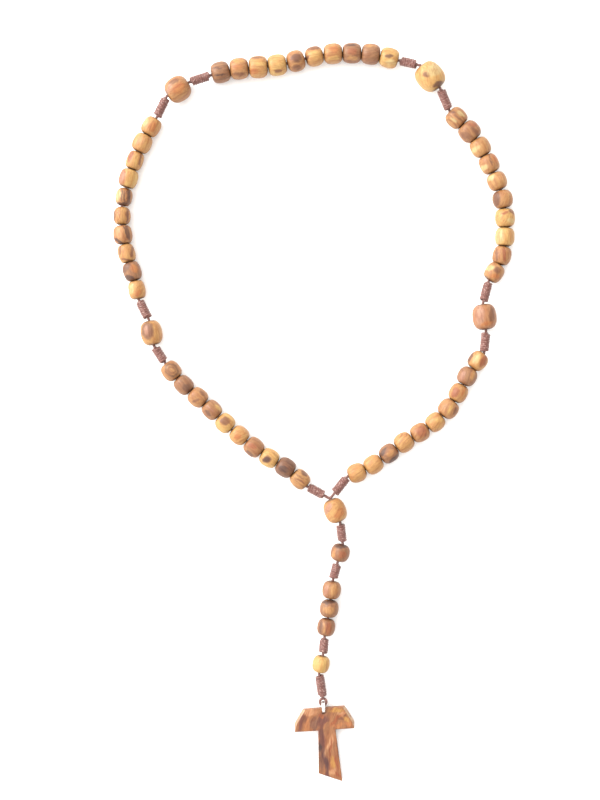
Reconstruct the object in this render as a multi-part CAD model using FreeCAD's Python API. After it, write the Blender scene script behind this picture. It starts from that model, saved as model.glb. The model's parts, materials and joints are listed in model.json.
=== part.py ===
import FreeCAD, Part
import math
import os

# A five-decade wooden rosary, laid out flat: a loop of threaded beads with wound knots, and a pendant
# with a tau cross. Millimetres. +Z is up, the beads rest on Z = 0, +Y runs from the cross to the top of
# the loop, and the origin is the middle of the footprint. The cord bends at the flex points.

Vector = FreeCAD.Vector

# Beads, each turned from olive wood with a bore along its own axis
small_length = 7.2
small_diameter = 8.3
bore_diameter = 2.4
centre_length = 10.2
centre_diameter = 9.3
end_flat_share = 0.42  # radius of a bead's flat end over the bead's radius
shoulder_share = 0.93  # radius where the shoulder meets the belly, over the bead's radius
shoulder_reach = 0.24  # length of a shoulder over the bead's length

# Cord, and the knots wound from it
cord_diameter = 1.2
knot_diameter = 3.3
wrap_pitch = 1.25  # one turn of the cord along a knot
wrap_depth = 0.3  # how deep the groove between two turns is
mouth_gap = 0.3  # a bead's end to the flex point beside it
cord_gap = 0.25  # a cord's cut end to the flex point
knot_gap = 0.45  # a knot's barrel to the flex point
fork_gap = 2.5  # the same at the centre bead, where two knots share one mouth
fork_cord_gap = 1.1  # and a cord's cut end there
sharp_gap = 1.3  # a knot's barrel to the flex point where the cord turns sharply beside a large bead
arc_share = 0.45  # share of the shorter run that a bend of the cord takes up

# Jump ring, end loop and cross
ring_mean_radius = 2.2
ring_wire = 0.8
loop_mean_radius = 1.35
cross_thickness = 2.8
cross_edge = 0.35  # rounding along the front edges
cross_turn = 4.5  # degrees about +Z
cross_hole_diameter = 1.7
cross_hole_drop = 1.87  # hole's centre below the ring's centre
scribe_radius = 0.15  # half-round line across the back, at the top of the stem
scribe_drop = 0.6  # below the bar's lower edge

# Flex points of the five decades, one before, between and after their ten beads (X, Y), anticlockwise
decade_points = {
    1: [(14.5, -26.5), (21.9, -23.8), (28.5, -19.4), (34.8, -14.6), (41.2, -10.1), (48.1, -6.4),
        (54.1, -1.3), (59.0, 4.8), (62.6, 11.9), (66.3, 18.8), (71.5, 24.8)],
    2: [(73.6, 55.6), (78.1, 62.1), (80.0, 69.8), (80.5, 77.7), (80.1, 85.6), (78.5, 93.4),
        (75.5, 100.8), (71.9, 107.9), (68.1, 114.8), (62.8, 120.8), (57.1, 126.4)],
    3: [(35.6, 147.7), (27.9, 149.8), (20.1, 150.8), (12.2, 150.7), (4.3, 150.3), (-3.5, 148.5),
        (-11.2, 146.3), (-19.1, 145.1), (-27.1, 144.6), (-35.0, 143.7), (-42.7, 141.6)],
    4: [(-65.9, 123.4), (-70.0, 116.6), (-73.5, 109.5), (-76.3, 102.1), (-78.7, 94.5), (-80.2, 86.6),
        (-80.3, 78.6), (-79.4, 70.7), (-77.2, 63.1), (-74.7, 55.5), (-73.3, 47.7)],
    5: [(-62.0, 20.7), (-57.1, 14.5), (-51.5, 8.9), (-45.3, 4.1), (-39.8, -1.6), (-34.1, -7.0),
        (-27.9, -11.8), (-21.9, -17.0), (-15.0, -20.8), (-8.3, -25.0), (-2.8, -30.7)],
}

# Large beads between the decades: centre X, Y, heading of the bore in degrees, length, diameter
large_beads = {
    1: (71.6, 40.2, 96.6, 10.8, 10.2),
    2: (48.8, 140.6, 131.0, 11.8, 11.6),
    3: (-56.7, 135.4, 212.0, 10.2, 10.8),
    4: (-67.8, 33.5, 281.0, 10.4, 9.2),
}

# Centre bead: centre X, Y and the heading of its bore, towards the loop
centre_x = 9.1
centre_y = -40.9
centre_heading = 113.0

# Flex points of the pendant below the centre bead, and how its pieces follow each other
pendant_points = [(12.3, -54.8), (10.2, -62.4), (8.1, -70.3), (7.2, -78.1), (6.1, -85.9), (4.7, -93.7),
                  (4.0, -101.5), (2.4, -109.2)]
ring_x = 4.26
ring_y = -123.6

# Outline of the cross about the ring's centre, X to the right and Y up, anticlockwise from the top right
cross_outline = [(8.9, -0.2), (-8.6, -0.2), (-12.2, -9.4), (-3.0, -9.55), (-4.2, -27.6), (5.5, -31.7),
                 (4.3, -9.6), (12.3, -9.7), (12.5, -7.1)]

small_z = small_diameter / 2
centre_z = centre_diameter / 2
ring_z = ring_mean_radius + ring_wire / 2
cord_radius = cord_diameter / 2
nodes = {}


def heading_vector(degrees):
    """A unit vector in the plane of the surface."""
    return Vector(math.cos(math.radians(degrees)), math.sin(math.radians(degrees)), 0)


def place_along(shape, start, end):
    """Puts a shape that is made along +X about the origin midway between two points, along their line."""
    shape.Placement = FreeCAD.Placement((start + end) / 2, FreeCAD.Rotation(Vector(1, 0, 0), end - start))
    return shape


def revolve_about_x(edges):
    """A solid from a closed profile in the upper XY half plane."""
    face = Part.Face(Part.Wire(edges))
    return face.revolve(Vector(0, 0, 0), Vector(1, 0, 0), 360)


def line(a, b):
    return Part.LineSegment(a, b).toShape()


def arc(a, through, b):
    return Part.Arc(a, through, b).toShape()


def bead(length, diameter):
    """A barrel bead along +X: flat ends, rounded shoulders, a slightly crowned belly and a bore."""
    half = length / 2
    radius = diameter / 2
    bore = bore_diameter / 2
    flat = radius * end_flat_share
    shoulder = radius * shoulder_share
    reach = half - length * shoulder_reach
    bulge = flat + (shoulder - flat) * 0.74
    inset = half - length * shoulder_reach * 0.3
    right = [Vector(half, flat, 0), Vector(inset, bulge, 0), Vector(reach, shoulder, 0)]
    left = [Vector(-p.x, p.y, 0) for p in right]
    return revolve_about_x([
        line(Vector(-half, bore, 0), Vector(half, bore, 0)),
        line(Vector(half, bore, 0), right[0]),
        arc(right[0], right[1], right[2]),
        arc(right[2], Vector(0, radius, 0), left[2]),
        arc(left[2], left[1], left[0]),
        line(left[0], Vector(-half, bore, 0)),
    ])


def bead_between(a, b, length, diameter):
    return place_along(bead(length, diameter), a, b)


def wound_barrel(length):
    """A knot's barrel along +X: the turns of the wound cord, with rounded ends, about a solid middle."""
    turns = round(length / wrap_pitch)
    pitch = length / turns
    outer = knot_diameter / 2
    groove = outer - wrap_depth
    x = -length / 2
    edges = [line(Vector(x, 0, 0), Vector(x, cord_radius, 0))]
    edges.append(arc(Vector(x, cord_radius, 0), Vector(x + pitch * 0.2, outer * 0.8, 0),
                     Vector(x + pitch / 2, outer, 0)))
    for turn in range(turns - 1):
        crest = x + pitch * (turn + 0.5)
        valley = crest + pitch / 2
        edges.append(line(Vector(crest, outer, 0), Vector(valley, groove, 0)))
        edges.append(line(Vector(valley, groove, 0), Vector(crest + pitch, outer, 0)))
    edges.append(arc(Vector(-x - pitch / 2, outer, 0), Vector(-x - pitch * 0.2, outer * 0.8, 0),
                     Vector(-x, cord_radius, 0)))
    edges.append(line(Vector(-x, cord_radius, 0), Vector(-x, 0, 0)))
    edges.append(line(Vector(-x, 0, 0), Vector(x, 0, 0)))
    return revolve_about_x(edges)


def straight_cord(a, b):
    """A straight length of cord from a to b."""
    return Part.makeCylinder(cord_radius, a.distanceToPoint(b), a, b - a)


def knot(a, b, start_gap=knot_gap, end_gap=knot_gap, start_cut=cord_gap, end_cut=cord_gap):
    """A wound knot between two flex points, with the cord standing out of both ends of its barrel."""
    along = (b - a).normalize()
    first = a + along * start_gap
    last = b - along * end_gap
    barrel = place_along(wound_barrel(first.distanceToPoint(last)), first, last)
    tail = straight_cord(a + along * start_cut, b - along * end_cut)
    return barrel.fuse(tail).removeSplitter()


def bent_cord(points, name):
    """A cord along a route: straight runs joined by tangent arcs, cut just short of both flex points."""
    route = [Vector(p) for p in points]
    route[0] = route[0] + (route[1] - route[0]).normalize() * cord_gap
    route[-1] = route[-1] + (route[-2] - route[-1]).normalize() * cord_gap
    edges = []
    radii = []
    at = route[0]
    for before, corner, after in zip(route, route[1:], route[2:]):
        way_in = (corner - before).normalize()
        way_out = (after - corner).normalize()
        setback = arc_share * min(corner.distanceToPoint(before), corner.distanceToPoint(after))
        half_turn = way_in.getAngle(way_out) / 2
        radius = setback / math.tan(half_turn)
        radii.append(radius)
        inward = (way_out - way_in).normalize()
        middle = corner + inward * (radius / math.cos(half_turn) - radius)
        start = corner - way_in * setback
        end = corner + way_out * setback
        edges.append(line(at, start))
        edges.append(arc(start, middle, end))
        at = end
    edges.append(line(at, route[-1]))
    path = Part.Wire(edges)
    section = Part.Wire(Part.makeCircle(cord_radius, route[0], route[1] - route[0]))
    tube = path.makePipeShell([section], True, False)
    share = tube.Volume / (math.pi * cord_radius ** 2 * path.Length)
    listed = ", ".join(f"{r:.0f}" for r in radii)
    print(f"{name}: {path.Length:.1f} mm, radii {listed}, volume share {share:.4f}")
    return tube


def mouth(centre, along, length, side):
    """The flex point just outside one end of a bead."""
    return centre + along * (side * (length / 2 + mouth_gap))


def add(name, *solids):
    nodes[name] = solids[0] if len(solids) == 1 else Part.makeCompound(list(solids))


def decade_halves():
    """Each decade is two half strings of five beads, so that it bends in its middle as well."""
    for number, points in decade_points.items():
        route = [Vector(x, y, small_z) for x, y in points]
        middle = len(route) // 2
        for half, part in (("first", route[:middle + 1]), ("last", route[middle:])):
            beads = [bead_between(a, b, small_length, small_diameter) for a, b in zip(part, part[1:])]
            add(f"decade_{number}_{half}_beads", *beads)
            add(f"decade_{number}_{half}_cord", bent_cord(part, f"decade_{number}_{half}_cord"))


def large_mouths(number):
    """The two flex points of a large bead, in the order of the loop."""
    x, y, heading, length, diameter = large_beads[number]
    centre = Vector(x, y, diameter / 2)
    along = heading_vector(heading)
    return mouth(centre, along, length, -1), mouth(centre, along, length, 1)


def large_bead_pieces():
    for number, (x, y, heading, length, diameter) in large_beads.items():
        first, last = large_mouths(number)
        along = heading_vector(heading)
        add(f"large_bead_{number}", bead_between(first, last, length, diameter))
        add(f"large_bead_{number}_cord", straight_cord(first + along * cord_gap, last - along * cord_gap))


def loop_knots(top):
    """The ten knots of the loop, anticlockwise from the centre bead."""
    ends = {}
    for number, points in decade_points.items():
        ends[number] = [Vector(x, y, small_z) for x, y in (points[0], points[-1])]
    add("loop_knot_1", knot(top, ends[1][0], start_gap=fork_gap, start_cut=fork_cord_gap))
    for number in large_beads:
        first, last = large_mouths(number)
        add(f"loop_knot_{2 * number}", knot(ends[number][1], first))
        start = sharp_gap if number == 2 else knot_gap
        add(f"loop_knot_{2 * number + 1}", knot(last, ends[number + 1][0], start_gap=start))
    add("loop_knot_10", knot(ends[5][1], top, end_gap=fork_gap, end_cut=fork_cord_gap))


def centre_pieces(top, bottom):
    add("centre_bead", bead_between(bottom, top, centre_length, centre_diameter))
    along = (top - bottom).normalize()
    add("centre_bead_cord", straight_cord(bottom + along * cord_gap, top - along * cord_gap))


def cross_axes():
    """Directions along the ring's own axis and up the cross, both level."""
    return heading_vector(cross_turn), heading_vector(cross_turn + 90)


def ring_centre():
    return Vector(ring_x, ring_y, ring_z)


def loop_centre():
    return ring_centre() + cross_axes()[1] * ring_mean_radius


def pendant_pieces(bottom):
    """Knots, beads and cords from the centre bead down to the small loop that holds the ring."""
    route = [bottom] + [Vector(x, y, small_z) for x, y in pendant_points]
    for number, index in ((1, 0), (2, 2), (3, 6)):
        add(f"pendant_knot_{number}", knot(route[index], route[index + 1]))
    for number, index in enumerate((1, 3, 4, 5, 7), start=1):
        threaded = bead_between(route[index], route[index + 1], small_length, small_diameter)
        add(f"pendant_bead_{number}", threaded)
    add("pendant_cord_1", bent_or_straight(route[1:3], "pendant_cord_1"))
    add("pendant_cord_2", bent_or_straight(route[3:7], "pendant_cord_2"))
    add("pendant_cord_3", bent_or_straight(route[7:9], "pendant_cord_3"))
    last_end = loop_centre() + cross_axes()[1] * (loop_mean_radius + cord_radius / 2)
    last_knot = knot(route[8], last_end, end_gap=cord_gap)
    loop = Part.makeTorus(loop_mean_radius, cord_radius, loop_centre(), Vector(0, 0, 1))
    add("pendant_knot_4", last_knot)
    add("end_loop", loop.cut(last_knot))


def bent_or_straight(points, name):
    if len(points) > 2:
        return bent_cord(points, name)
    along = (points[1] - points[0]).normalize()
    return straight_cord(points[0] + along * cord_gap, points[1] - along * cord_gap)


def jump_ring():
    """A closed wire ring that stands on edge through the loop and the hole in the cross."""
    add("jump_ring", Part.makeTorus(ring_mean_radius, ring_wire / 2, ring_centre(), cross_axes()[0]))


def cross_tilt():
    """Degrees that the cross leans: its foot rests on the surface and the ring holds its top up."""
    foot = -min(y for _, y in cross_outline)
    back = cross_thickness / 2
    return math.degrees(math.asin(ring_z / math.hypot(foot, back)) - math.atan(back / foot))


def slab(outline):
    """An upright block of the cross's thickness about Z = 0, on an outline."""
    corners = [Vector(x, y, -cross_thickness / 2) for x, y in outline]
    face = Part.Face(Part.makePolygon(corners + corners[:1]))
    return face.extrude(Vector(0, 0, cross_thickness))


def tau_cross():
    """A T-shaped cross with flared ends, a softened front edge and a hole for the ring. A shallow line
    scribed across the back parts the stem's flat from the bar's."""
    body = slab(cross_outline)
    front = [e for e in body.Edges if all(abs(v.Z - cross_thickness / 2) < 1e-6 for v in e.Vertexes)]
    body = body.makeFillet(cross_edge, front)
    bore = Part.makeCylinder(cross_hole_diameter / 2, 2 * cross_thickness,
                             Vector(0, -cross_hole_drop, -cross_thickness))
    left, right = cross_outline[3], cross_outline[6]
    reach = Vector(right[0] - left[0], right[1] - left[1], 0).normalize()
    start = Vector(left[0], left[1] - scribe_drop, -cross_thickness / 2) - reach
    scribe = Part.makeCylinder(scribe_radius, right[0] - left[0] + 2, start, reach)
    body = body.cut(bore).cut(scribe)
    turn = FreeCAD.Rotation(Vector(0, 0, 1), cross_turn)
    lean = FreeCAD.Rotation(Vector(1, 0, 0), cross_tilt())
    body.Placement = FreeCAD.Placement(ring_centre(), turn.multiply(lean))
    add("tau_cross", body)


def build():
    centre = Vector(centre_x, centre_y, centre_z)
    along = heading_vector(centre_heading)
    top = mouth(centre, along, centre_length, 1)
    bottom = mouth(centre, along, centre_length, -1)
    centre_pieces(top, bottom)
    decade_halves()
    large_bead_pieces()
    loop_knots(top)
    pendant_pieces(bottom)
    jump_ring()
    tau_cross()


build()
os.makedirs("parts", exist_ok=True)
for node_name, shape in nodes.items():
    if not shape.isValid():
        raise ValueError(f"{node_name} is not a valid shape")
    shape.exportStep(f"parts/{node_name}.step")
whole = Part.makeCompound(list(nodes.values())).BoundBox
print(f"{len(nodes)} nodes, X {whole.XMin:.2f} {whole.XMax:.2f}, Y {whole.YMin:.2f} {whole.YMax:.2f}")
print(f"Z {whole.ZMin:.2f} {whole.ZMax:.2f}, lean of the cross {cross_tilt():.3f} degrees")
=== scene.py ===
"""The looks of the olive-wood rosary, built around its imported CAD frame. Metres, in the frame's own axes."""

import json
import math
import random

import bmesh
import bpy
from mathutils import Matrix, Vector, noise


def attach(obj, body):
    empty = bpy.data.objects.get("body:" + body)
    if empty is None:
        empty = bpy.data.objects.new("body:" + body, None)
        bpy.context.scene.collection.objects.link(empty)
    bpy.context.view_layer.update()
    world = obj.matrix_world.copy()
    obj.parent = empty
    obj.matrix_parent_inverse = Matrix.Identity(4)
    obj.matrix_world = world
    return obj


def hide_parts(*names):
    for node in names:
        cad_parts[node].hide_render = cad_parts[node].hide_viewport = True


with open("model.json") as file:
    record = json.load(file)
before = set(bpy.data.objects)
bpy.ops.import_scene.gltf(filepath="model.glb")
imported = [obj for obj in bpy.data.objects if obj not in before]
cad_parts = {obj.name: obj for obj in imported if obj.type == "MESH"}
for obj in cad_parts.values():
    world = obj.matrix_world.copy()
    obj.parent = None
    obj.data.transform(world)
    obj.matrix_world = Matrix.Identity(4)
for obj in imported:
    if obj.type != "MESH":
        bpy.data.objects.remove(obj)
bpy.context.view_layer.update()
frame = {"record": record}

MM = 0.001
UP = Vector((0, 0, 1))
BODY_OF = {node: body for body, nodes in frame["record"]["behaviour"]["bodies"].items() for node in nodes}

# Sizes. Bead lengths, knots and the hole in the cross are fitted to the photo and differ a little from CAD.
SMALL_LENGTH = 0.0076
SMALL_DIAMETER = 0.0083
CENTRE_LENGTH = 0.0102
CENTRE_DIAMETER = 0.0093
BORE_RADIUS = 0.0012
MOUTH_FLARE = 1.12  # a bore's mouth is this much wider than the bore
CORD_DIAMETER = 0.0012
CORD_RADIUS = CORD_DIAMETER / 2
KNOT_RADIUS = 0.00198
KNOT_GAP = 0.00045  # bare cord between a flex point and a knot's barrel
SHARP_GAP = 0.0012  # the same where the cord turns sharply at a large bead
FORK_GAP = 0.0025  # the same beside the centre bead, where two knots meet
MOUTH_GAP = 0.0003  # from a bead's end to the flex point outside it
RING_MEAN_RADIUS = 0.0022
RING_WIRE = 0.0008
RING_SPREAD = 1.8  # the wire is this much wider across the ring than through it
LOOP_MEAN_RADIUS = 0.00135
CROSS_THICKNESS = 0.0028
CROSS_TURN = 4.5
CROSS_HOLE_RADIUS = 0.00074
CROSS_HOLE_DROP = 0.00184

# The cord's route through each decade: a point before, between and after its ten beads
DECADE_ROUTES = {
    1: [(.0145, -.0265), (.0219, -.0238), (.0285, -.0194), (.0348, -.0146), (.0412, -.0101), (.0481, -.0064),
        (.0541, -.0013), (.0590, .0048), (.0626, .0119), (.0663, .0188), (.0715, .0248)],
    2: [(.0736, .0556), (.0781, .0621), (.0800, .0698), (.0805, .0777), (.0801, .0856), (.0785, .0934),
        (.0755, .1008), (.0719, .1079), (.0681, .1148), (.0628, .1208), (.0571, .1264)],
    3: [(.0356, .1477), (.0279, .1498), (.0201, .1508), (.0122, .1507), (.0043, .1503), (-.0035, .1485),
        (-.0112, .1463), (-.0191, .1451), (-.0271, .1446), (-.0350, .1437), (-.0427, .1416)],
    4: [(-.0659, .1234), (-.0700, .1166), (-.0735, .1095), (-.0763, .1021), (-.0787, .0945), (-.0802, .0866),
        (-.0803, .0786), (-.0794, .0707), (-.0772, .0631), (-.0747, .0555), (-.0733, .0477)],
    5: [(-.0620, .0207), (-.0571, .0145), (-.0515, .0089), (-.0453, .0041),
        (-.0398, -.0016), (-.0341, -.0070), (-.0279, -.0118), (-.0219, -.0170), (-.0150, -.0208),
        (-.0083, -.0250), (-.0028, -.0307)],
}

# Large beads: centre X, Y, heading of the bore in degrees, length, diameter
LARGE_BEADS = {
    1: (.0716, .0402, 96.6, .0108, .0102),
    2: (.0488, .1406, 131.0, .0118, .0116),
    3: (-.0567, .1354, 212.0, .0102, .0108),
    4: (-.0678, .0335, 281.0, .0104, .0092),
}
CENTRE = (.0091, -.0409)
CENTRE_HEADING = 113.0
PENDANT_ROUTE = [(.0123, -.0548), (.0102, -.0624), (.0081, -.0703), (.0072, -.0781), (.0061, -.0859),
                 (.0047, -.0937), (.0040, -.1015), (.0024, -.1092)]
RING_CENTRE = Vector((.00426, -.1236, RING_MEAN_RADIUS + RING_WIRE / 2))
CROSS_OUTLINE = [(.0089, -.0002), (-.0086, -.0002), (-.0126, -.0060), (-.0128, -.0094), (-.0030, -.00955),
                 (-.0042, -.0276), (.0055, -.0317), (.0043, -.0096), (.0123, -.0097), (.0125, -.0071)]

# The camera looks straight down on the laid-out string
CAMERA_AT = (-.0056, .0054)
CAMERA_HEIGHT = 0.62
FRAME_HEIGHT = 0.3353  # height of the view at the beads' middles
SENSOR = 36.0
FLOOR_SIZE = 30.0
SKY = (1.02, 3.0)  # brightness of the sky on the lower right and on the upper left
TONE_EXPOSURE = (0.465, 0.452, 0.405)  # per channel: the light is strong enough to bleach a white floor

# Wood tones as (light, dark), in display values
TONES = {
    "bright": ((252, 205, 128), (200, 142, 84)),
    "honey": ((240, 184, 114), (172, 118, 70)),
    "sand": ((230, 174, 110), (158, 108, 66)),
    "tan": ((220, 162, 104), (146, 98, 64)),
    "pink": ((216, 156, 108), (148, 96, 68)),
    "brown": ((204, 148, 98), (132, 88, 58)),
    "umber": ((190, 137, 95), (116, 78, 54)),
    "dark": ((158, 110, 78), (96, 64, 48)),
}

# Colours of the marks that a bead shows on top
MARKS = {
    "cream": (255, 232, 172), "yellow": (252, 206, 126), "peach": (246, 186, 130), "sand": (236, 180, 116),
    "orange": (230, 150, 84), "rust": (196, 118, 74), "brown": (164, 110, 74), "umber": (138, 92, 66),
    "dark": (108, 72, 56), "pink": (216, 164, 140),
}

# How a bead was cut from the log: rise of the grain out of the surface and direction of the pith around the
# grain (0 beside the bead, 90 above it) in degrees, its distance in millimetres, strength of the rings, and
# their spacing in millimetres
FIGURES = {
    "plain": (5, 50, 14, 0.3, 0.9),
    "stripes": (3, 20, 14, 0.6, 0.75),
}

# Each bead's tone, figure, grain direction in degrees and width over the usual, in the order of the route
DECADE_LOOKS = {
    1: [("honey", "plain", 30, 0.98), ("honey", "plain", 40, 0.96), ("umber", "plain", 40, 0.96),
        ("honey", "stripes", 42, 1.02), ("tan", "plain", 60, 0.97), ("honey", "plain", 50, 0.95),
        ("tan", "plain", 60, 1.03), ("sand", "plain", 65, 0.95), ("umber", "plain", 70, 1.01),
        ("honey", "plain", 65, 0.96)],
    2: [("tan", "plain", 100, 0.95), ("tan", "plain", 92, 0.95), ("bright", "plain", 90, 0.99),
        ("bright", "plain", 60, 1.02), ("tan", "plain", 80, 1.04), ("sand", "plain", 100, 1),
        ("tan", "plain", 110, 0.99), ("sand", "plain", 120, 1.01), ("brown", "plain", 120, 1.1),
        ("tan", "stripes", 140, 1.04)],
    3: [("bright", "plain", 0, 1.04), ("umber", "plain", 5, 1.07), ("umber", "plain", 0, 1.04),
        ("sand", "plain", 0, 1.06), ("honey", "plain", 5, 1.03), ("tan", "plain", 5, 1.09),
        ("bright", "plain", 8, 1.09), ("honey", "plain", 0, 1.14), ("tan", "plain", 0, 1.12),
        ("umber", "stripes", 5, 1.09)],
    4: [("honey", "plain", 60, 0.94), ("honey", "plain", 60, 0.98), ("honey", "plain", 75, 0.86),
        ("bright", "plain", 80, 0.97), ("tan", "plain", 88, 0.86), ("honey", "stripes", 90, 0.9),
        ("tan", "plain", 100, 0.97), ("honey", "plain", 88, 0.88), ("umber", "plain", 110, 0.94),
        ("honey", "plain", 70, 0.88)],
    5: [("tan", "plain", 130, 0.98), ("umber", "plain", 130, 0.93), ("tan", "plain", 130, 0.98),
        ("brown", "plain", 135, 0.95), ("bright", "plain", 130, 0.98), ("honey", "plain", 20, 0.97),
        ("brown", "plain", 140, 0.98), ("bright", "plain", 140, 0.95), ("dark", "plain", 140, 1.02),
        ("sand", "stripes", 152, 0.96)],
}
LARGE_LOOKS = {
    1: ("pink", "plain", 95), 2: ("bright", "plain", 100), 3: ("tan", "plain", 30), 4: ("honey", "plain", 95),
}
CENTRE_LOOK = ("honey", "plain", 60)

# The same for the pendant's beads, with their length over the usual
PENDANT_LOOKS = [("umber", "plain", 100, 0.97, 0.98), ("brown", "plain", 90, 0.97, 1.0),
                 ("umber", "plain", 90, 0.97, 0.98), ("umber", "plain", 85, 0.93, 0.98),
                 ("bright", "plain", 80, 0.88, 0.96)]

# Powers in a bead's outline: how round its belly is, and how flat its ends are, by decade and kind
BELLY = 2.3
FLATNESS = {1: 3.2, 2: 4.0, 3: 4.2, 4: 4.2, 5: 3.5}
HINGE_FLATNESS = 3.2
LARGE_FLATNESS = 3.3
CENTRE_FLATNESS = 3.0
PENDANT_FLATNESS = 3.1

MARK_FOOT = -1.2  # marks fade out over the millimetre above this height about the bead's middle
MARK_SOFTNESS = 0.5  # width of a mark's edge, over its size
MARK_STRENGTH = 0.85
MARK_RING_SHADE = 0.72  # the rings in a mark, over the mark's own colour

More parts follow.
